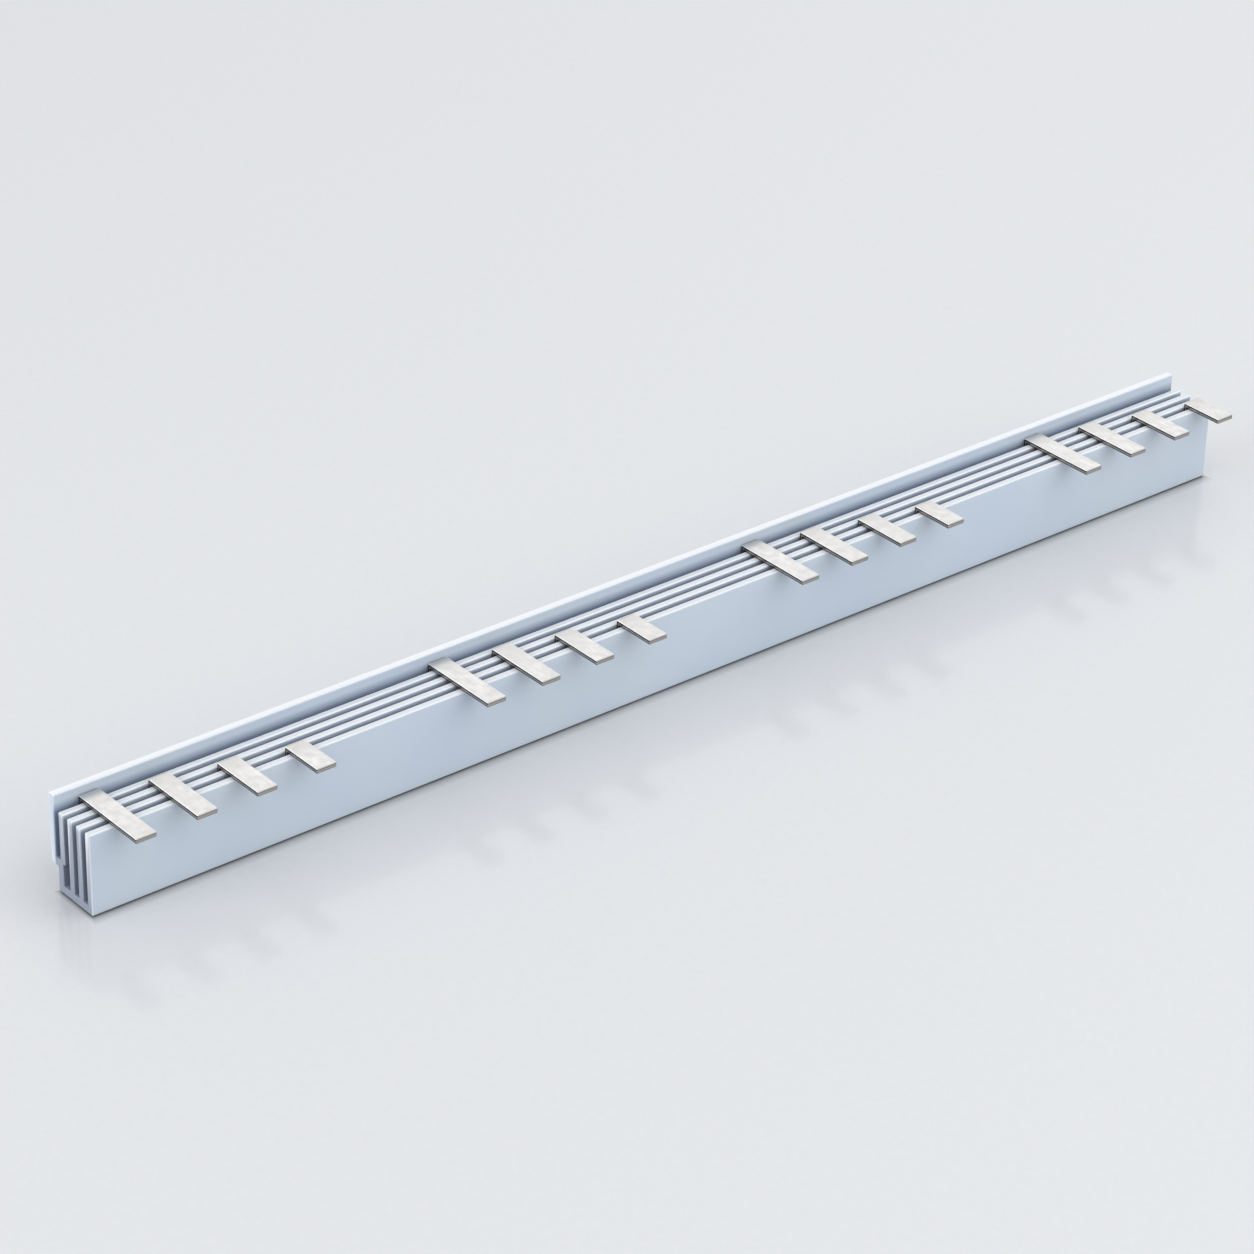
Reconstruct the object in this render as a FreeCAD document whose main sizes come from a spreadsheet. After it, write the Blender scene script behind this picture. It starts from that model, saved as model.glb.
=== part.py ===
# Four-pole comb busbar: an extruded insulating profile with four slots, and a stamped and bent
# copper comb on edge in each slot. Every comb has flat tines that are bent forward over the walls
# and stand out past the front face.
# Frame: X runs along the bar, +Y points to the back, +Z up. The origin is the middle of the base.
import FreeCAD, Part
import os

import Sketcher
from FreeCAD import Vector

os.makedirs("parts", exist_ok=True)
doc = FreeCAD.newDocument("comb_busbar")

# Driving dimensions, in millimetres
SIZES = [
    ("module_pitch", 17.8, "width of one module: from a tine to the next tine of the same group"),
    ("module_count", 6, "modules from one group of tines to the next"),
    ("group_count", 4, "groups of tines along the bar"),
    ("near_margin", 9.9, "near end to the middle of the first tine"),
    ("far_margin", 4.3, "middle of the last tine to the far end"),
    ("wall_height", 23.5, "base to the tops of the front wall and the dividers"),
    ("rear_rise", 3.8, "rear wall's top above the other walls"),
    ("front_wall", 2.1, "thickness of the front wall"),
    ("divider", 2.0, "thickness of each divider"),
    ("slot_width", 1.9, "clear width of each slot"),
    ("rear_wall", 2.3, "thickness of the rear wall above the step"),
    ("lower_wall", 2.2, "thickness of the rear wall below the step"),
    ("floor", 2.4, "thickness of the floor under the three deep slots"),
    ("step_depth", 3.1, "how far the lower rear is stepped forward"),
    ("step_height", 7.3, "base to the underside of the step"),
    ("step_floor", 2.3, "thickness of the floor under the shallow slot"),
    ("relief_height", 8.8, "base to the top of the widened foot of the second slot"),
    ("top_round", 0.65, "radius along the tops of the front wall and the dividers"),
    ("rear_round", 0.95, "radius along the top of the rear wall"),
    ("slot_root", 0.2, "radius in the corners of the slot floors"),
    ("foot_round", 0.7, "radius along the lower front edge"),
    ("heel_round", 1.2, "radius along the lower rear edge"),
    ("step_round", 1.6, "radius along the step's outer edge"),
    ("step_root", 0.4, "radius in the step's inner corner"),
    ("comb_thickness", 1.4, "thickness of the copper"),
    ("strip_height", 8.4, "height of a comb's strip, on edge on the slot floor"),
    ("strip_recess", 3.0, "near end of the profile to the strips"),
    ("tine_width", 6.0, "width of a tine"),
    ("tine_reach", 10.0, "how far the tines stand out past the front face"),
    ("bend_inside", 0.3, "inside radius of a tine's bend"),
    ("bend_outside", 0.6, "outside radius of a tine's bend, which the press squeezes nearly square"),
    ("root_round", 1.5, "radius between a tine's foot and its strip"),
]

sheet = doc.addObject("Spreadsheet::Sheet", "Sizes")
for row, (alias, number, meaning) in enumerate(SIZES, start=1):
    sheet.set(f"A{row}", alias)
    sheet.set(f"B{row}", str(number))
    sheet.set(f"C{row}", meaning)
    sheet.setAlias(f"B{row}", alias)
doc.recompute()

SLOT_PITCH = "(Sizes.slot_width + Sizes.divider)"
BODY_DEPTH = f"(Sizes.front_wall + 3 * {SLOT_PITCH} + Sizes.slot_width + Sizes.rear_wall)"
BASE_DEPTH = f"({BODY_DEPTH} - Sizes.step_depth)"
GROUP_PITCH = "(Sizes.module_count * Sizes.module_pitch)"
LAST_TINE = f"(Sizes.near_margin + (Sizes.group_count - 1) * {GROUP_PITCH} + 3 * Sizes.module_pitch)"
BAR_LENGTH = f"({LAST_TINE} + Sizes.far_margin)"
SHALLOW_FLOOR = "(Sizes.step_height + Sizes.step_floor)"


def value(expression):
    """The number that an expression on the sheet stands for."""
    result = sheet.evalExpression(expression)
    return float(getattr(result, "Value", result))


def origin_feature(body, role):
    return next(item for item in body.Origin.OriginFeatures if item.Role == role)


def sketch_on(body, role, name):
    sketch = body.newObject("Sketcher::SketchObject", name)
    sketch.AttachmentSupport = [(origin_feature(body, role), "")]
    sketch.MapMode = "FlatFace"
    return sketch


def draw_outline(sketch, corners):
    """A closed outline of level and upright lines. Each corner is (across, up, radius): expressions
    on the sheet, with None for a sharp corner. Every line is held at its distance from the sketch's
    own axis, and every round is tangent to its two lines."""
    count = len(corners)
    points = [Vector(value(across), value(up), 0) for across, up, _ in corners]
    radii = [value(radius) if radius else 0.0 for _, _, radius in corners]
    ways = [(points[(i + 1) % count] - points[i]).normalize() for i in range(count)]
    lines = []
    for i in range(count):
        start = points[i] + ways[i] * radii[i]
        end = points[(i + 1) % count] - ways[i] * radii[(i + 1) % count]
        lines.append(sketch.addGeometry(Part.LineSegment(start, end), False))
    for i, (across, up, radius) in enumerate(corners):
        before, after = lines[i - 1], lines[i]
        if radius:
            start = points[i] - ways[i - 1] * radii[i]
            end = points[i] + ways[i] * radii[i]
            centre = start + ways[i] * radii[i]
            middle = centre + (points[i] - centre).normalize() * radii[i]
            arc = sketch.addGeometry(Part.Arc(start, middle, end), False)
            turns_left = ways[i - 1].cross(ways[i]).z > 0
            first, last = (1, 2) if turns_left else (2, 1)
            sketch.addConstraint(Sketcher.Constraint("Tangent", before, 2, arc, first))
            sketch.addConstraint(Sketcher.Constraint("Tangent", arc, last, after, 1))
            number = sketch.addConstraint(Sketcher.Constraint("Radius", arc, radii[i]))
            sketch.setExpression(f"Constraints[{number}]", radius)
        else:
            sketch.addConstraint(Sketcher.Constraint("Coincident", before, 2, after, 1))
        level = abs(ways[i].y) < 0.5
        sketch.addConstraint(Sketcher.Constraint("Horizontal" if level else "Vertical", after))
        kind, expression, axis = ("DistanceY", up, -1) if level else ("DistanceX", across, -2)
        if expression == "0":
            sketch.addConstraint(Sketcher.Constraint("PointOnObject", after, 1, axis))
        else:
            number = sketch.addConstraint(Sketcher.Constraint(kind, -1, 1, after, 1, value(expression)))
            sketch.setExpression(f"Constraints[{number}]", expression)


def pad(body, sketch, name, length, midplane=False):
    feature = body.newObject("PartDesign::Pad", name)
    feature.Profile = sketch
    feature.Midplane = midplane
    feature.setExpression("Length", length)
    return feature


def set_down(body, along, across, up):
    """Puts a body's own origin at its place in the bar's frame."""
    body.setExpression(".Placement.Base.x", along)
    body.setExpression(".Placement.Base.y", across)
    body.setExpression(".Placement.Base.z", up)


def make_profile():
    """The extrusion: its section from the near lower front corner, padded along the bar. Slots are
    counted from the front. Slot 2 is wider at its foot, below the divider that stands behind it."""
    body = doc.addObject("PartDesign::Body", "insulating_profile")
    body.Label = "insulating_profile"
    rear_inner = f"{BODY_DEPTH} - Sizes.rear_wall"
    rear_top = "Sizes.wall_height + Sizes.rear_rise"
    corners = [
        ("0", "0", "Sizes.foot_round"),
        (BASE_DEPTH, "0", "Sizes.heel_round"),
        (BASE_DEPTH, "Sizes.step_height", "Sizes.step_root"),
        (BODY_DEPTH, "Sizes.step_height", "Sizes.step_round"),
        (BODY_DEPTH, rear_top, "Sizes.rear_round"),
        (rear_inner, rear_top, "Sizes.rear_round"),
        (rear_inner, SHALLOW_FLOOR, "Sizes.slot_root"),
    ]
    for slot in (3, 2, 1, 0):
        slot_front = f"Sizes.front_wall + {slot} * {SLOT_PITCH}"
        slot_floor = SHALLOW_FLOOR if slot == 3 else "Sizes.floor"
        if slot == 2:
            relief_rear = f"{BASE_DEPTH} - Sizes.lower_wall"
            slot_rear = f"{slot_front} + Sizes.slot_width"
            corners += [
                (slot_rear, "Sizes.relief_height", None),
                (relief_rear, "Sizes.relief_height", "Sizes.slot_root"),
                (relief_rear, slot_floor, "Sizes.slot_root"),
            ]
        elif slot < 2:
            corners.append((f"{slot_front} + Sizes.slot_width", slot_floor, "Sizes.slot_root"))
        corners.append((slot_front, slot_floor, "Sizes.slot_root"))
        corners.append((slot_front, "Sizes.wall_height", "Sizes.top_round"))
        wall_front = f"{slot_front} - Sizes.divider" if slot else "0"
        corners.append((wall_front, "Sizes.wall_height", "Sizes.top_round"))
    section = sketch_on(body, "YZ_Plane", "Section")
    draw_outline(section, corners)
    pad(body, section, "Extrusion", BAR_LENGTH)
    set_down(body, f"-{BAR_LENGTH} / 2", f"-{BASE_DEPTH} / 2", "0")
    return body


def root_edges(shape):
    """The inner corners between the tines' feet and the strip's upper edge."""
    strip_top = value("Sizes.strip_height")
    strip_end = value(f"{LAST_TINE} + Sizes.tine_width / 2")
    names = []
    for number, edge in enumerate(shape.Edges, start=1):
        box = edge.BoundBox
        across = box.YLength > 0.9 * value("Sizes.comb_thickness") and box.XLength + box.ZLength < 1e-6
        inside = value("Sizes.strip_recess") + 0.01 < box.XMin < strip_end - 0.01
        if across and inside and abs(box.ZMin - strip_top) < 1e-6:
            names.append(f"Edge{number}")
    return names


def make_comb(label, slot, floor):
    """One comb, stamped from sheet and bent. Its own frame has X from the profile's near end, the
    slot's middle plane at Y = 0 and the slot's floor at Z = 0."""
    body = doc.addObject("PartDesign::Body", label)
    body.Label = label
    half = "Sizes.comb_thickness / 2"
    middle = f"(Sizes.front_wall + {slot} * {SLOT_PITCH} + Sizes.slot_width / 2)"
    first_tine = f"Sizes.near_margin + {3 - slot} * Sizes.module_pitch"
    top = f"Sizes.wall_height - {floor} + Sizes.comb_thickness"
    under = f"Sizes.wall_height - {floor}"
    tip = f"-{middle} - Sizes.tine_reach"

    strip_end = f"{LAST_TINE} + Sizes.tine_width / 2"
    strip_sketch = sketch_on(body, "XZ_Plane", "StripOutline")
    draw_outline(strip_sketch, [
        ("Sizes.strip_recess", "0", None),
        (strip_end, "0", None),
        (strip_end, "Sizes.strip_height", None),
        ("Sizes.strip_recess", "Sizes.strip_height", None),
    ])
    pad(body, strip_sketch, "Strip", "Sizes.comb_thickness", midplane=True)

    bend_sketch = sketch_on(body, "YZ_Plane", "TineOutline")
    bend_sketch.setExpression(".AttachmentOffset.Base.z", first_tine)
    draw_outline(bend_sketch, [
        (half, "0", None),
        (half, top, "Sizes.bend_outside"),
        (tip, top, None),
        (tip, under, None),
        (f"-{half}", under, "Sizes.bend_inside"),
        (f"-{half}", "0", None),
    ])
    tine = pad(body, bend_sketch, "Tine", "Sizes.tine_width", midplane=True)

    row = body.newObject("PartDesign::LinearPattern", "TineRow")
    row.Originals = [tine]
    row.Direction = (origin_feature(body, "X_Axis"), [""])
    row.Mode = "Spacing"
    row.setExpression("Offset", GROUP_PITCH)
    row.setExpression("Occurrences", "Sizes.group_count")
    body.Tip = row
    doc.recompute()

    roots = body.newObject("PartDesign::Fillet", "TineRoots")
    roots.Base = (row, root_edges(row.Shape))
    free_height = f"({under} - Sizes.bend_inside - Sizes.strip_height)"
    roots.setExpression("Radius", f"min(Sizes.root_round; {free_height} / 2)")
    set_down(body, f"-{BAR_LENGTH} / 2", f"{middle} - {BASE_DEPTH} / 2", floor)
    return body


bodies = [make_profile()]
bodies.append(make_comb("comb_front", 0, "Sizes.floor"))
bodies.append(make_comb("comb_mid_front", 1, "Sizes.floor"))
bodies.append(make_comb("comb_mid_rear", 2, "Sizes.floor"))
bodies.append(make_comb("comb_rear", 3, SHALLOW_FLOOR))
doc.recompute()

for item in doc.Objects:
    if "Invalid" in item.State or "Error" in item.State:
        raise RuntimeError(f"{item.Label} failed: {item.State}")
for body in bodies:
    if body.Shape.isNull() or not body.Shape.isValid() or len(body.Shape.Solids) != 1:
        raise RuntimeError(f"{body.Label} isn't one valid solid")
for body in bodies:
    body.Shape.exportStep(f"parts/{body.Label}.step")
    box = body.Shape.BoundBox
    print(f"{body.Label}: {box.XLength:.2f} x {box.YLength:.2f} x {box.ZLength:.2f} mm, "
          f"volume {body.Shape.Volume:.1f} mm3")
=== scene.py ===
import math

import bmesh
import bpy
from mathutils import Matrix, Vector


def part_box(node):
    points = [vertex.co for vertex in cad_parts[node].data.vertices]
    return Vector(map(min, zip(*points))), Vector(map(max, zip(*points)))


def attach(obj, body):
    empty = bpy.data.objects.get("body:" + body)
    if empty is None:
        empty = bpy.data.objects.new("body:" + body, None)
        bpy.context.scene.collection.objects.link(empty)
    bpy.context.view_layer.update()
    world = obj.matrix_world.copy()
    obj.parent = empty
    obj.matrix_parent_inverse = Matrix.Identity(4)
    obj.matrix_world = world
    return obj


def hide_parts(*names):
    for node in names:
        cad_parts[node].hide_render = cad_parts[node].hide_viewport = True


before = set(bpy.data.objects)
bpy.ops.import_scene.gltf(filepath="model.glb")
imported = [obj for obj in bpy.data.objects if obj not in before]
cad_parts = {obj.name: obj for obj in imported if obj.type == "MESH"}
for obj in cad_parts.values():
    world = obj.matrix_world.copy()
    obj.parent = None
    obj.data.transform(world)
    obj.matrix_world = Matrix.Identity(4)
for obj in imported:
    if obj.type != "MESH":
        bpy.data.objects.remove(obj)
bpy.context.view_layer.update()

# Insulating profile. One length of rigid pale blue-grey plastic: a floor, a front wall, three
# dividers and a taller rear wall, with the lower rear stepped forward. It is drawn through a die,
# sawn square to length and rubbed down at the cuts, so that all its edges are small rounds.
front_wall = 0.0021
divider = 0.0020
slot_width = 0.0019
rear_wall = 0.0023
lower_wall = 0.0022
rear_rise = 0.0038
slot_floor = 0.0024
step_depth = 0.0031
step_height = 0.0073
step_floor = 0.0023
relief_height = 0.0088
top_round = 0.00042
rear_round = 0.00055
slot_root = 0.0002
relief_round = 0.0003
foot_round = 0.0007
heel_round = 0.0012
step_round = 0.0016
step_root = 0.0004
end_round = 0.0003
rear_rub_highlight = 1.0
front_rub_highlight = 0.5
end_rub_highlight = 0.2
least_round = 0.00004
round_steps = 6
end_steps = 4
length_steps = 40
plastic_blue = (0.572, 0.647, 0.722, 1.0)
plastic_deep = (0.540, 0.620, 0.722, 1.0)
plastic_rub_highlight = (0.95, 0.96, 0.97, 1.0)
plastic_sawn_lit = (0.760, 0.820, 0.900, 1.0)
plastic_worn_dulled = (0.590, 0.620, 0.660, 1.0)
plastic_shaded = (0.275, 0.312, 0.390, 1.0)
plastic_rim_highlight = (0.690, 0.715, 0.750, 1.0)
plastic_shaded_rear = (0.230, 0.290, 0.395, 1.0)
plastic_foot_shade = (0.034, 0.037, 0.042, 1.0)
plastic_gloss = 1.5
plastic_roughness = (0.24, 0.27)
die_lines = 2400.0
die_line_breaks = 6.0
die_patches = 30.0
die_line_strength = 0.01
die_line_depth = 0.00001
edge_breaks = 120.0
colour_border = 0.0002
worn_dulled_depth = 0.00005
shaded_depth = 0.0014
rear_shade_low = 0.0014
rear_shade_high = 0.0016
foot_shade_height = 0.00050
foot_shade_dark_share = 0.7

profile_low, profile_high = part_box("insulating_profile")
front_face = profile_low.y
rear_inner = profile_high.y - rear_wall
wall_top = profile_high.z - rear_rise


def section_corners():
    """The section's corners as the near end shows them, from the lower front: (y, z, radius, how
    far that edge is worn and painted as a highlight)."""
    rear_face = profile_high.y
    base_rear = rear_face - step_depth
    base = profile_low.z
    step_top = base + step_height + step_floor
    corners = [
        (front_face, base, foot_round, 0),
        (base_rear, base, heel_round, 0),
        (base_rear, base + step_height, step_root, 0),
        (rear_face, base + step_height, step_round, front_rub_highlight),
        (rear_face, profile_high.z, rear_round, rear_rub_highlight),
        (rear_inner, profile_high.z, rear_round, 0),
        (rear_inner, step_top, slot_root, 0),
    ]
    for slot in (3, 2, 1, 0):
        slot_front = front_face + front_wall + slot * (slot_width + divider)
        slot_rear = slot_front + slot_width
        bottom = step_top if slot == 3 else base + slot_floor
        if slot == 2:
            relief_rear = base_rear - lower_wall
            corners.append((slot_rear, base + relief_height, relief_round, 0))
            corners.append((relief_rear, base + relief_height, slot_root, 0))
            corners.append((relief_rear, bottom, slot_root, 0))
        elif slot < 2:
            corners.append((slot_rear, bottom, slot_root, 0))
        corners.append((slot_front, bottom, slot_root, 0))
        corners.append((slot_front, wall_top, top_round, rear_rub_highlight))
        wall_front = slot_front - divider if slot else front_face
        corners.append((wall_front, wall_top, top_round, front_rub_highlight))
    return corners


def section_line(inset):
    """The section's outline, drawn into the plastic by inset, as (y, z, wear and painted highlight,
    outer): that share is greatest in the middle of an edge, and outer says whether the corner stands
    out."""
    corners = section_corners()
    line = []
    for i, (across, up, radius, rub) in enumerate(corners):
        here = Vector((across, up))
        coming = (here - Vector(corners[i - 1][:2])).normalized()
        going = (Vector(corners[(i + 1) % len(corners)][:2]) - here).normalized()
        turn = 1 if coming.cross(going) > 0 else -1
        here += inset * (coming.orthogonal() + going.orthogonal())
        radius = max(radius - turn * inset, least_round)
        centre = here + radius * (going - coming)
        for step in range(round_steps + 1):
            share = step / round_steps
            arm = Matrix.Rotation(turn * share * math.pi / 2, 2) @ (-radius * going)
            line.append((*(centre + arm), rub * math.sqrt(math.sin(math.pi * share)), turn > 0))
    return line


def ring_places():
    """Where the outline is repeated along the bar: (x, inset, share of the way round the end)."""
    near, far = profile_low.x, profile_high.x
    ends = []
    for step in range(end_steps + 1):
        angle = math.pi / 2 * step / end_steps
        share = math.sin(math.pi * step / end_steps)
        ends.append((end_round * (1 - math.sin(angle)), end_round * (1 - math.cos(angle)), share))
    places = [(near + depth, inset, share) for depth, inset, share in ends]
    places.reverse()
    first, last = near + end_round, far - end_round
    for step in range(1, length_steps):
        places.append((first + (last - first) * step / length_steps, 0.0, 0.0))
    places += [(far - depth, inset, share) for depth, inset, share in ends]
    return places


def even_shading(piece):
    """Smooth shading in which the wide faces stay flat and only the rounds turn the light."""
    for face in piece.data.polygons:
        face.use_smooth = True
    weights = piece.modifiers.new("flat_faces", "WEIGHTED_NORMAL")
    weights.weight = 100
    weights.keep_sharp = True


profile_mesh = bpy.data.meshes.new("insulating_profile_skin")
build = bmesh.new()
rub_highlight_layer = build.verts.layers.float.new("rubbed")
sawn_layer = build.verts.layers.float.new("sawn")
rings = []
for along, inset, end_share in ring_places():
    ring = []
    for across, up, corner_share, outer in section_line(inset):
        vert = build.verts.new((along, across, up))
        vert[rub_highlight_layer] = max(corner_share, end_rub_highlight * end_share) if outer else 0.0
        vert[sawn_layer] = 1.0 if inset == end_round else 0.0
        ring.append(vert)
    rings.append(ring)
for ring, after in zip(rings, rings[1:]):
    for i in range(len(ring)):
        build.faces.new((ring[i - 1], ring[i], after[i], after[i - 1]))
build.faces.new(rings[0])
build.faces.new(rings[-1])
bmesh.ops.recalc_face_normals(build, faces=build.faces)
build.to_mesh(profile_mesh)
build.free()
profile = bpy.data.objects.new("profile_extrusion", profile_mesh)
bpy.context.scene.collection.objects.link(profile)
even_shading(profile)


def group_with(name, inputs, outputs):
    """An empty shader group: inputs are (name, socket kind, value), outputs (name, socket kind)."""
    group = bpy.data.node_groups.new(name, "ShaderNodeTree")
    for title, kind, start in inputs:
        socket = group.interface.new_socket(title, in_out="INPUT", socket_type=kind)
        if start is not None:
            socket.default_value = start
    for title, kind in outputs:
        group.interface.new_socket(title, in_out="OUTPUT", socket_type=kind)
    return group, group.nodes.new("NodeGroupInput"), group.nodes.new("NodeGroupOutput")


def add_node(tree, kind, settings=None, **values):
    """A node with its settings, and its sockets set to a number, a colour or another's output. A
    socket is given by its name, with _ for each space, or by _ and its number."""
    node = tree.nodes.new(kind)
    for title, setting in (settings or {}).items():
        setattr(node, title, setting)
    for title, start in values.items():
        socket = node.inputs[int(title[1:])] if title[0] == "_" else node.inputs[title.replace("_", " ")]
        if isinstance(start, bpy.types.NodeSocket):
            tree.links.new(start, socket)
        else:
            socket.default_value = start
    return node


def between(tree, share, low, high, start=0.3, end=0.7):
    """A number from low to high as share goes from start to end."""
    spread = add_node(tree, "ShaderNodeMapRange", Value=share, From_Min=start, From_Max=end,
                      To_Min=low, To_Max=high)
    return spread.outputs[0]


def both(tree, first, second):
    """Two numbers multiplied, or a mask for where two masks meet."""
    return add_node(tree, "ShaderNodeMath", {"operation": "MULTIPLY"}, _0=first, _1=second).outputs[0]


def drawn_lines_group():
    """Fine lines that a die or a roll leaves along a surface, and soft cloudy patches over them.
    The lines run along the X of the vector, and its unit is the metre."""
    group, given, made = group_with(
        "drawn_lines",
        [
            ("Vector", "NodeSocketVector", None),
            ("Lines per Metre", "NodeSocketFloat", 2000.0),
            ("Breaks per Metre", "NodeSocketFloat", 20.0),
            ("Patches per Metre", "NodeSocketFloat", 60.0),
        ],
        [("Lines", "NodeSocketFloat"), ("Patches", "NodeSocketFloat")],
    )
    ways = add_node(group, "ShaderNodeSeparateXYZ", Vector=given.outputs["Vector"])
    fine = given.outputs["Lines per Metre"]
    long = given.outputs["Breaks per Metre"]
    along = both(group, ways.outputs["X"], long)
    across = both(group, ways.outputs["Y"], fine)
    up = both(group, ways.outputs["Z"], fine)
    stretched = add_node(group, "ShaderNodeCombineXYZ", X=along, Y=across, Z=up)
    lines = add_node(group, "ShaderNodeTexNoise", Vector=stretched.outputs[0], Scale=1.0, Detail=3.0,
                     Roughness=0.6)
    patches = add_node(group, "ShaderNodeTexNoise", Vector=given.outputs["Vector"],
                       Scale=given.outputs["Patches per Metre"], Detail=4.0, Roughness=0.5)
    group.links.new(lines.outputs[0], made.inputs["Lines"])
    group.links.new(patches.outputs[0], made.inputs["Patches"])
    return group


def rubbed_edge_group():
    """A mask for the rounds that handling has worn and that get a painted highlight, broken up a
    little along their length.
    """
    least_kept = 0.75
    group, given, made = group_with(
        "rubbed_edge",
        [
            ("Vector", "NodeSocketVector", None),
            ("Share", "NodeSocketFloat", 0.0),
            ("Breaks per Metre", "NodeSocketFloat", 150.0),
        ],
        [("Mask", "NodeSocketFloat")],
    )
    breaks = add_node(group, "ShaderNodeTexNoise", Vector=given.outputs["Vector"],
                      Scale=given.outputs["Breaks per Metre"], Detail=2.0)
    kept = between(group, breaks.outputs[0], least_kept, 1.0)
    group.links.new(both(group, given.outputs["Share"], kept), made.inputs["Mask"])
    return group


drawn_lines = drawn_lines_group()
rubbed_edge = rubbed_edge_group()


def blend_colours(tree, share, first, second):
    """A colour between two, by a share from 0 to 1. The mix node's colour sockets are 6 and 7, and
    its colour output is 2."""
    mix = add_node(tree, "ShaderNodeMix", {"data_type": "RGBA"}, _0=share, _6=first, _7=second)
    return mix.outputs[2]


def extruded_plastic():
    """Semi-gloss plastic with barely seen die lines along the bar and a slightly uneven tint. It has
    painted shade in the slots and low on the rear wall's inner face, a painted highlight on the rear
    rim, worn edges painted as highlights, sawn ends painted paler for light on them, worn tops painted
    greyer between the edge highlights, and a painted contact shade along its foot."""
    material = bpy.data.materials.new("extruded_plastic")
    material.use_nodes = True
    tree = material.node_tree
    shader = tree.nodes["Principled BSDF"]
    place = add_node(tree, "ShaderNodeTexCoord").outputs["Object"]
    die = add_node(tree, "ShaderNodeGroup", {"node_tree": drawn_lines}, Vector=place,
                   Lines_per_Metre=die_lines, Breaks_per_Metre=die_line_breaks,
                   Patches_per_Metre=die_patches)
    share = add_node(tree, "ShaderNodeAttribute", {"attribute_name": "rubbed"}).outputs["Fac"]
    edge = add_node(tree, "ShaderNodeGroup", {"node_tree": rubbed_edge}, Vector=place, Share=share,
                    Breaks_per_Metre=edge_breaks)
    patchy = between(tree, die.outputs["Patches"], 0.0, 1.0)
    tint = blend_colours(tree, patchy, plastic_blue, plastic_deep)
    ways = add_node(tree, "ShaderNodeSeparateXYZ", Vector=place)
    across = ways.outputs["Y"]
    up = ways.outputs["Z"]
    border = colour_border
    # Painted shade: the plastic is painted darker in the slots below the wall tops, where shade falls.
    behind = between(tree, across, 0.0, 1.0, front_face + border, front_face + 2 * border)
    before = between(tree, across, 1.0, 0.0, rear_inner + border, rear_inner + 2 * border)
    sunk = between(tree, up, 1.0, 0.0, wall_top - shaded_depth, wall_top - border)
    slot_shade = both(tree, both(tree, behind, before), sunk)
    tint = blend_colours(tree, slot_shade, tint, plastic_shaded)
    # Painted shade: the rear wall's inner face is painted darker and bluer around the tops of the slots.
    at_rear = between(tree, across, 0.0, 1.0, rear_inner - 2 * border, rear_inner - border)
    low_rear = between(tree, up, 1.0, 0.0, wall_top - rear_shade_low, wall_top + rear_shade_high)
    corner = both(tree, both(tree, at_rear, low_rear), before)
    tint = blend_colours(tree, corner, tint, plastic_shaded_rear)
    # Painted highlight: the top of the rear wall is painted paler, as a bright rim.
    rim_highlight = between(tree, up, 0.0, 1.0, profile_high.z - 2 * border, profile_high.z - border)
    tint = blend_colours(tree, rim_highlight, tint, plastic_rim_highlight)
    # The wall tops are painted greyer: partly wear, partly painted shade between the edge highlights.
    on_top = between(tree, up, 0.0, 1.0, wall_top - border, wall_top - worn_dulled_depth)
    low_wall = between(tree, across, 1.0, 0.0, rear_inner - 2 * border, rear_inner - border)
    tint = blend_colours(tree, both(tree, on_top, low_wall), tint, plastic_worn_dulled)
    # The sawn ends are painted paler: partly the cut surface, partly painted light on the end faces.
    sawn = add_node(tree, "ShaderNodeAttribute", {"attribute_name": "sawn"}).outputs["Fac"]
    tint = blend_colours(tree, sawn, tint, plastic_sawn_lit)
    # Painted highlight: the worn rounds are painted near white, standing in for highlights along the
    # edges.
    tint = blend_colours(tree, edge.outputs["Mask"], tint, plastic_rub_highlight)
    # Painted shade: a dark line painted along the foot stands in for the contact shadow there.
    foot_shade = between(tree, up, 1.0, 0.0, foot_shade_height * foot_shade_dark_share, foot_shade_height)
    tree.links.new(blend_colours(tree, foot_shade, tint, plastic_foot_shade), shader.inputs["Base Color"])
    tree.links.new(between(tree, die.outputs["Lines"], *plastic_roughness), shader.inputs["Roughness"])
    bump = add_node(tree, "ShaderNodeBump", Height=die.outputs["Lines"], Strength=die_line_strength,
                    Distance=die_line_depth)
    tree.links.new(bump.outputs[0], shader.inputs["Normal"])
    shader.inputs["IOR"].default_value = plastic_gloss
    return material


profile_mesh.materials.append(extruded_plastic())
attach(profile, "root")
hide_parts("insulating_profile")

# Combs, one for each pole. Each is stamped from tinned copper strip as a flat blank, a long band with
# four tines standing on it, and the tines are then pressed forward, nearly square at the bend. It
# is pushed into its slot and stands there on edge, with its tines across the tops of the walls.
sheet_thickness = 0.0014
band_height = 0.0084
tine_width = 0.0060
near_margin = 0.0099
module_pitch = 0.0178
group_modules = 6
group_count = 4
root_round = 0.0015
bend_inside = 0.0003
bend_outside = 0.0004
deburr = 0.00020
deburr_steps = 3
sharp_turn = math.radians(60)
cut_face = 0.05
flat_face = 0.999
place_digits = 7
root_steps = 8
bend_steps = 8
flat_steps = 6
band_steps = 6
tin_bright = (0.96, 0.948, 0.928, 1.0)
tin_dull = (0.75, 0.738, 0.720, 1.0)
tin_near_bend = (0.64, 0.62, 0.575, 1.0)
tin_sheared = (0.50, 0.47, 0.425, 1.0)
tin_torn = (0.07, 0.066, 0.06, 1.0)
tin_rolled_over = (0.03, 0.028, 0.026, 1.0)
tin_bend_shade = (0.30, 0.28, 0.25, 1.0)
tin_edge_highlight = (0.98, 0.975, 0.96, 1.0)
tin_roughness = (0.27, 0.36)
rolled_lines = 1500.0
rolled_line_breaks = 90.0
rolled_patches = 420.0
rolled_line_strength = 0.12
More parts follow.
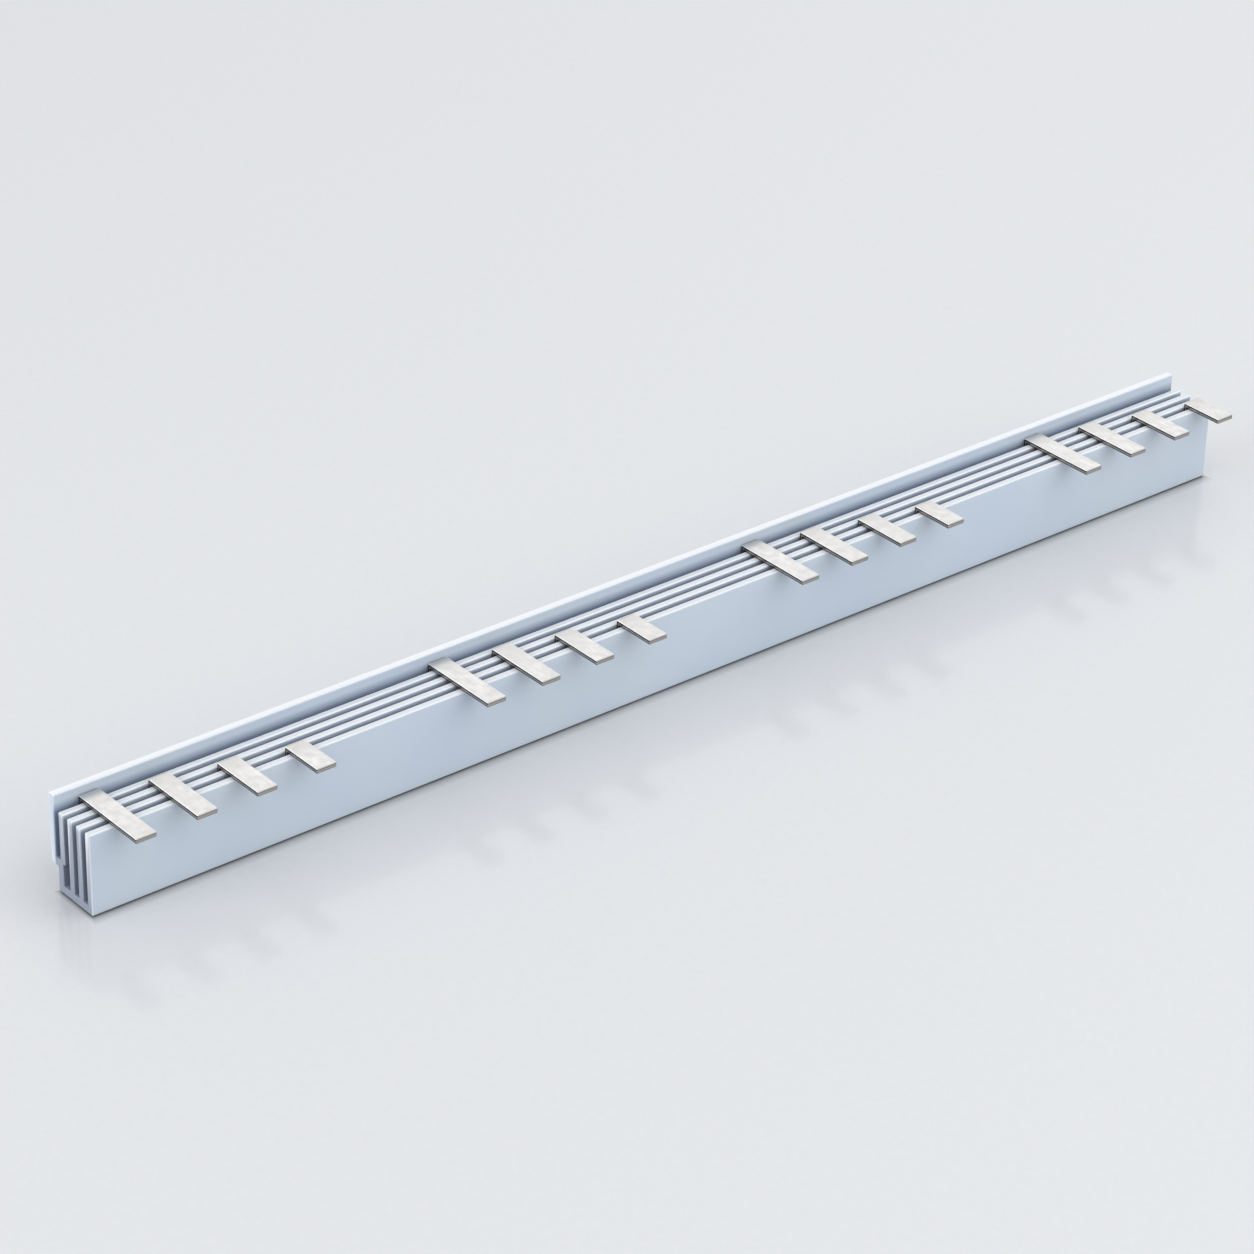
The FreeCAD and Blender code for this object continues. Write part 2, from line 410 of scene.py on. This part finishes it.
rolled_line_depth = 0.00002
haze_lines = 60.0
haze_breaks = 30.0
haze_patches = 45.0
haze_share = 0.6
haze_limits = (0.4, 0.7)
streak_share = 0.7
streak_limits = (0.4, 0.65)
near_bend_share = 0.8
near_bend_reach = (0.0, 1.3)
bend_shade_reach = (0.05, 0.12)
torn_limits = (0.25, 0.35)
rolled_over_limits = (0.53, 0.60)
tip_share = 0.6
tip_limits = (-0.9, -0.6)
tine_edge_breaks = 500.0
bend_blank = math.pi / 2 * (bend_inside + bend_outside) / 2
comb_order = ("comb_rear", "comb_mid_rear", "comb_mid_front", "comb_front")


def blank_levels(low, high):
    """Heights up a tine's blank, from its root to its tip, for rows of faces: (levels, fold
    start, fold end, tip)."""
    foot = band_height + root_round
    fold = wall_top - low.z - bend_inside
    flat = fold + bend_blank
    tip = flat + (high.y - sheet_thickness - bend_inside) - low.y
    levels = [foot, fold]
    levels += [fold + bend_blank * step / bend_steps for step in range(1, bend_steps + 1)]
    levels += [flat + (tip - flat) * step / flat_steps for step in range(1, flat_steps + 1)]
    return levels, fold, flat, tip


def stamped_blank(low, high, middles):
    """The flat comb as it leaves the die: X along the bar, Z up the sheet, Y through it."""
    levels, _, _, _ = blank_levels(low, high)
    blank = bmesh.new()
    made = {}

    def corner(along, up):
        key = (round(along, place_digits), round(up, place_digits))
        if key not in made:
            made[key] = blank.verts.new((along, 0, up))
        return made[key]

    def face(*places):
        blank.faces.new([corner(*place) for place in places])

    def root_arc(side, sign):
        arc = []
        for step in range(root_steps + 1):
            angle = math.pi / 2 * step / root_steps
            along = side + sign * root_round * math.sin(angle)
            arc.append((along, band_height + root_round * (1 - math.cos(angle))))
        return arc

    band_marks = [low.x]
    for middle in middles:
        first, last = middle - tine_width / 2, middle + tine_width / 2
        left, right = first - root_round, last + root_round
        if right < high.x:
            face((left, 0), (right, 0), *root_arc(right, -1), *reversed(root_arc(left, 1)))
            band_marks += [left, right]
        else:
            face((left, 0), (last, 0), (last, levels[0]), *reversed(root_arc(left, 1)))
            band_marks.append(left)
        for below, above in zip(levels, levels[1:]):
            face((first, below), (last, below), (last, above), (first, above))
    if len(band_marks) % 2:
        band_marks.append(high.x)
    for start, end in zip(band_marks[::2], band_marks[1::2]):
        for step in range(band_steps):
            first = start + (end - start) * step / band_steps
            last = start + (end - start) * (step + 1) / band_steps
            face((first, 0), (last, 0), (last, band_height), (first, band_height))
    return blank


def thicken_and_deburr(blank):
    """Gives the blank its thickness and rounds every cut edge a little."""
    skin = bmesh.ops.extrude_face_region(blank, geom=blank.faces[:])
    lifted = [item for item in skin["geom"] if isinstance(item, bmesh.types.BMVert)]
    bmesh.ops.translate(blank, verts=lifted, vec=(0, sheet_thickness, 0))
    bmesh.ops.recalc_face_normals(blank, faces=blank.faces)
    sharp = [edge for edge in blank.edges if edge.calc_face_angle(0) > sharp_turn]
    bmesh.ops.bevel(blank, geom=sharp, offset=deburr, segments=deburr_steps, profile=0.5,
                    affect="EDGES", clamp_overlap=True)


def mark_sheet(blank, fold):
    """Notes which faces were sheared and which were rounded, by how far they face through the sheet,
    and how deep in the sheet and how far from the fold each point is, and lays the rolling grain out
    flat."""
    sheared = blank.faces.layers.float.new("sheared")
    rubbed = blank.faces.layers.float.new("rubbed")
    depth = blank.verts.layers.float.new("depth")
    past_fold = blank.verts.layers.float.new("past_fold")
    grain = blank.loops.layers.uv.new("sheet")
    for vert in blank.verts:
        vert[depth] = vert.co.y / sheet_thickness
        vert[past_fold] = (vert.co.z - fold) / tine_width
    for face in blank.faces:
        through = abs(face.normal.y)
        upper = face.calc_center_median().y > sheet_thickness / 2
        face[sheared] = 1.0 if through < (cut_face if upper else flat_face) else 0.0
        face[rubbed] = 1.0 if upper and cut_face <= through < flat_face else 0.0
        for loop in face.loops:
            loop[grain].uv = (loop.vert.co.x, loop.vert.co.z)


def press_tines(blank, low, high):
    """Bends the tines forward: up the sheet becomes up the riser, round the bend and out to the tip."""
    _, fold, flat, tip = blank_levels(low, high)
    foot = band_height + root_round
    strip_front = high.y - sheet_thickness
    for vert in blank.verts:
        along, depth, up = vert.co
        radius = bend_inside + (bend_outside - bend_inside) * depth / sheet_thickness
        y = strip_front + depth
        z = low.z + up
        bend_y = strip_front + depth - radius
        bend_z = wall_top + depth - radius
        if foot < up <= fold:
            z = low.z + foot + (up - foot) / (fold - foot) * (bend_z - low.z - foot)
        elif fold < up <= flat:
            angle = math.pi / 2 * (up - fold) / bend_blank
            y = bend_y + radius * math.cos(angle)
            z = bend_z + radius * math.sin(angle)
        elif up > flat:
            y = bend_y - (up - flat) / (tip - flat) * (bend_y - low.y)
            z = wall_top + depth
        vert.co = (along, y, z)


def tinned_strip():
    """Satin tin over copper: faint rolling lines along the tines, duller patches and a browner zone
    towards the bend, painted shade over the bend and the riser, and painted highlights on the
    deburred edges. The stamped sides are darker, in bands where the sheet rolled over, sheared and
    tore, and more even at the tips."""
    material = bpy.data.materials.new("tinned_strip")
    material.use_nodes = True
    tree = material.node_tree
    shader = tree.nodes["Principled BSDF"]
    flat = add_node(tree, "ShaderNodeUVMap", {"uv_map": "sheet"}).outputs["UV"]
    ways = add_node(tree, "ShaderNodeSeparateXYZ", Vector=flat)
    grain = add_node(tree, "ShaderNodeCombineXYZ", X=ways.outputs["Y"], Y=ways.outputs["X"])
    rolled = add_node(tree, "ShaderNodeGroup", {"node_tree": drawn_lines}, Vector=grain.outputs[0],
                      Lines_per_Metre=rolled_lines, Breaks_per_Metre=rolled_line_breaks,
                      Patches_per_Metre=rolled_patches)
    hazed = add_node(tree, "ShaderNodeGroup", {"node_tree": drawn_lines}, Vector=grain.outputs[0],
                     Lines_per_Metre=haze_lines, Breaks_per_Metre=haze_breaks,
                     Patches_per_Metre=haze_patches)
    share = add_node(tree, "ShaderNodeAttribute", {"attribute_name": "rubbed"}).outputs["Fac"]
    edge = add_node(tree, "ShaderNodeGroup", {"node_tree": rubbed_edge}, Vector=grain.outputs[0],
                    Share=share, Breaks_per_Metre=tine_edge_breaks)
    cut = add_node(tree, "ShaderNodeAttribute", {"attribute_name": "sheared"}).outputs["Fac"]
    depth = add_node(tree, "ShaderNodeAttribute", {"attribute_name": "depth"}).outputs["Fac"]
    past_fold = add_node(tree, "ShaderNodeAttribute", {"attribute_name": "past_fold"}).outputs["Fac"]
    patchy = between(tree, rolled.outputs["Patches"], 0.0, 1.0)
    tone = blend_colours(tree, patchy, tin_bright, tin_dull)
    # The tops are painted browner towards the bend.
    near_bend = between(tree, past_fold, near_bend_share, 0.0, *near_bend_reach)
    tone = blend_colours(tree, near_bend, tone, tin_near_bend)
    streaks = between(tree, rolled.outputs["Lines"], 0.0, streak_share, *streak_limits)
    tone = blend_colours(tree, streaks, tone, tin_dull)
    haze = between(tree, hazed.outputs["Patches"], 0.0, haze_share, *haze_limits)
    tone = blend_colours(tree, haze, tone, tin_dull)
    # Painted shade: the bend and the riser below it are painted darker, where the bend turns away from
    # the light.
    bend_shade = between(tree, past_fold, 1.0, 0.0, *bend_shade_reach)
    tone = blend_colours(tree, bend_shade, tone, tin_bend_shade)
    past_torn = between(tree, depth, 0.0, 1.0, *torn_limits)
    stamped = blend_colours(tree, past_torn, tin_torn, tin_sheared)
    rolled_over = between(tree, depth, 0.0, 1.0, *rolled_over_limits)
    stamped = blend_colours(tree, rolled_over, stamped, tin_rolled_over)
    facing = add_node(tree, "ShaderNodeNewGeometry").outputs["Normal"]
    facing_rear = add_node(tree, "ShaderNodeSeparateXYZ", Vector=facing).outputs["Y"]
    tip = between(tree, facing_rear, tip_share, 0.0, *tip_limits)
    stamped = blend_colours(tree, tip, stamped, tin_sheared)
    tone = blend_colours(tree, cut, tone, stamped)
    # Painted highlight: the deburred edges are painted near white, standing in for a highlight along
    # them.
    tree.links.new(blend_colours(tree, edge.outputs["Mask"], tone, tin_edge_highlight),
                   shader.inputs["Base Color"])
    tree.links.new(between(tree, rolled.outputs["Patches"], *tin_roughness), shader.inputs["Roughness"])
    bump = add_node(tree, "ShaderNodeBump", Height=rolled.outputs["Lines"],
                    Strength=rolled_line_strength, Distance=rolled_line_depth)
    tree.links.new(bump.outputs[0], shader.inputs["Normal"])
    shader.inputs["Metallic"].default_value = 1.0
    return material


comb_finish = tinned_strip()
for order, node_name in enumerate(comb_order):
    comb_low, comb_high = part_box(node_name)
    first_tine = profile_low.x + near_margin + order * module_pitch
    middles = [first_tine + group * group_modules * module_pitch for group in range(group_count)]
    blank = stamped_blank(comb_low, comb_high, middles)
    thicken_and_deburr(blank)
    mark_sheet(blank, blank_levels(comb_low, comb_high)[1])
    press_tines(blank, comb_low, comb_high)
    comb_mesh = bpy.data.meshes.new(node_name + "_skin")
    blank.to_mesh(comb_mesh)
    blank.free()
    comb = bpy.data.objects.new(node_name + "_stamping", comb_mesh)
    bpy.context.scene.collection.objects.link(comb)
    comb_mesh.materials.append(comb_finish)
    even_shading(comb)
    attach(comb, "root")
    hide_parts(node_name)

# Studio. A pale, glossy, slightly rippled floor, an even surround and six soft lamps. The tops of the
# tines mirror the two panels and the softbox at the end. The other three lamps aren't mirrored, so
# they leave no bright pools in the floor.
floor_reach = 6.0
floor_grey = (0.586, 0.597, 0.615, 1.0)
floor_dull = (0.568, 0.579, 0.597, 1.0)
floor_foot_shade = (0.225, 0.231, 0.243, 1.0)
foot_reach = 0.0035
foot_rear_fade = 5.0
foot_end_fade = 2.5
foot_falloff = 0.6
floor_gloss = 1.5
floor_roughness = (0.10, 0.14)
floor_unevenness = 18.0
floor_ripples = 140.0
ripple_strength = 0.1
ripple_depth = 0.0002
floor_grain = 420.0
surround_grey = (0.97, 0.98, 1.0, 1.0)
surround_strength = 0.59
lamps = (
    ("softbox_above", (1.2, 0.9), (0.70, 0.00, 1.20), 2.2),
    ("softbox_front", (2.0, 1.3), (0.40, -0.78, 0.85), 12.2),
    ("strip_behind", (2.4, 0.35), (1.30, 1.70, 0.25), 13.0),
    ("panel_behind", (3.0, 1.4), (0.85, 1.40, 0.95), 6.7),
    ("panel_left", (0.9, 0.6), (-0.90, 1.20, 1.00), 2.4),
    ("softbox_end", (0.9, 0.6), (-1.30, 0.10, 0.55), 8.6),
)
mirrored = ("panel_behind", "panel_left", "softbox_end")

floor_mesh = bpy.data.meshes.new("floor")
floor_build = bmesh.new()
bmesh.ops.create_grid(floor_build, x_segments=8, y_segments=8, size=floor_reach)
floor_build.to_mesh(floor_mesh)
floor_build.free()
floor = bpy.data.objects.new("floor", floor_mesh)
bpy.context.scene.collection.objects.link(floor)


def floor_paint():
    """Smooth glossy paint that has flowed out not quite flat, with a painted contact shade close
    along the bar's foot. The foot reaches as far behind the origin as in front of it."""
    material = bpy.data.materials.new("floor_paint")
    material.use_nodes = True
    tree = material.node_tree
    shader = tree.nodes["Principled BSDF"]
    place = add_node(tree, "ShaderNodeTexCoord").outputs["Object"]
    uneven = add_node(tree, "ShaderNodeTexNoise", Vector=place, Scale=floor_unevenness, Detail=3.0)
    ripple = add_node(tree, "ShaderNodeTexNoise", Vector=place, Scale=floor_ripples, Detail=2.0)
    bump = add_node(tree, "ShaderNodeBump", Height=ripple.outputs[0], Strength=ripple_strength,
                    Distance=ripple_depth)
    ways = add_node(tree, "ShaderNodeSeparateXYZ", Vector=place)
    past_end = add_node(tree, "ShaderNodeMath", {"operation": "ABSOLUTE"}, _0=ways.outputs["X"])
    past_end = add_node(tree, "ShaderNodeMath", {"operation": "MULTIPLY_ADD"}, _0=past_end.outputs[0],
                        _1=foot_end_fade, _2=-profile_high.x * foot_end_fade)
    past_front = add_node(tree, "ShaderNodeMath", {"operation": "SUBTRACT"}, _0=front_face,
                          _1=ways.outputs["Y"])
    past_rear = add_node(tree, "ShaderNodeMath", {"operation": "MULTIPLY_ADD"}, _0=ways.outputs["Y"],
                         _1=foot_rear_fade, _2=front_face * foot_rear_fade)
    apart = add_node(tree, "ShaderNodeMath", {"operation": "MAXIMUM"}, _0=past_end.outputs[0],
                     _1=past_front.outputs[0])
    apart = add_node(tree, "ShaderNodeMath", {"operation": "MAXIMUM"}, _0=apart.outputs[0],
                     _1=past_rear.outputs[0])
    # Painted shade: the floor is painted dark right at the bar's foot, standing in for its contact
    # shadow.
    clear = between(tree, apart.outputs[0], 0.0, 1.0, 0.0, foot_reach)
    clear = add_node(tree, "ShaderNodeMath", {"operation": "POWER"}, _0=clear, _1=foot_falloff)
    grain = add_node(tree, "ShaderNodeTexNoise", Vector=place, Scale=floor_grain, Detail=4.0,
                     Roughness=0.7)
    paint = blend_colours(tree, between(tree, grain.outputs[0], 0.0, 1.0), floor_dull, floor_grey)
    tree.links.new(blend_colours(tree, clear.outputs[0], floor_foot_shade, paint), shader.inputs["Base Color"])
    shader.inputs["IOR"].default_value = floor_gloss
    tree.links.new(between(tree, uneven.outputs[0], *floor_roughness), shader.inputs["Roughness"])
    tree.links.new(bump.outputs[0], shader.inputs["Normal"])
    return material


floor_mesh.materials.append(floor_paint())

surround = bpy.data.worlds.new("studio")
bpy.context.scene.world = surround
surround.use_nodes = True
backdrop = surround.node_tree.nodes["Background"]
backdrop.inputs["Color"].default_value = surround_grey
backdrop.inputs["Strength"].default_value = surround_strength

for title, size, place, power in lamps:
    lamp = bpy.data.lights.new(title, "AREA")
    lamp.shape = "RECTANGLE"
    lamp.size, lamp.size_y = size
    lamp.energy = power
    stand = bpy.data.objects.new(title, lamp)
    bpy.context.scene.collection.objects.link(stand)
    stand.location = place
    stand.rotation_euler = (-Vector(place)).to_track_quat("-Z", "Y").to_euler()
    stand.visible_glossy = title in mirrored

# Camera. A long lens, about a metre from the near end, looking along the bar from its front left.
lens = 122.523
camera_place = Vector((-0.65532, -0.75482, 0.57683))
camera_turn = math.radians(-40.084)
camera_dip = math.radians(29.498)
camera_roll = math.radians(1.5)
camera_data = bpy.data.cameras.new("camera")
camera_data.sensor_width = 36.0
camera_data.lens = lens
camera = bpy.data.objects.new("camera", camera_data)
bpy.context.scene.collection.objects.link(camera)
bpy.context.scene.camera = camera
aim = Matrix.Rotation(camera_turn, 4, "Z")
aim = aim @ Matrix.Rotation(math.pi / 2 - camera_dip, 4, "X")
aim = aim @ Matrix.Rotation(camera_roll, 4, "Z")
camera.matrix_world = Matrix.Translation(camera_place) @ aim
bpy.context.scene.view_settings.view_transform = "Standard"
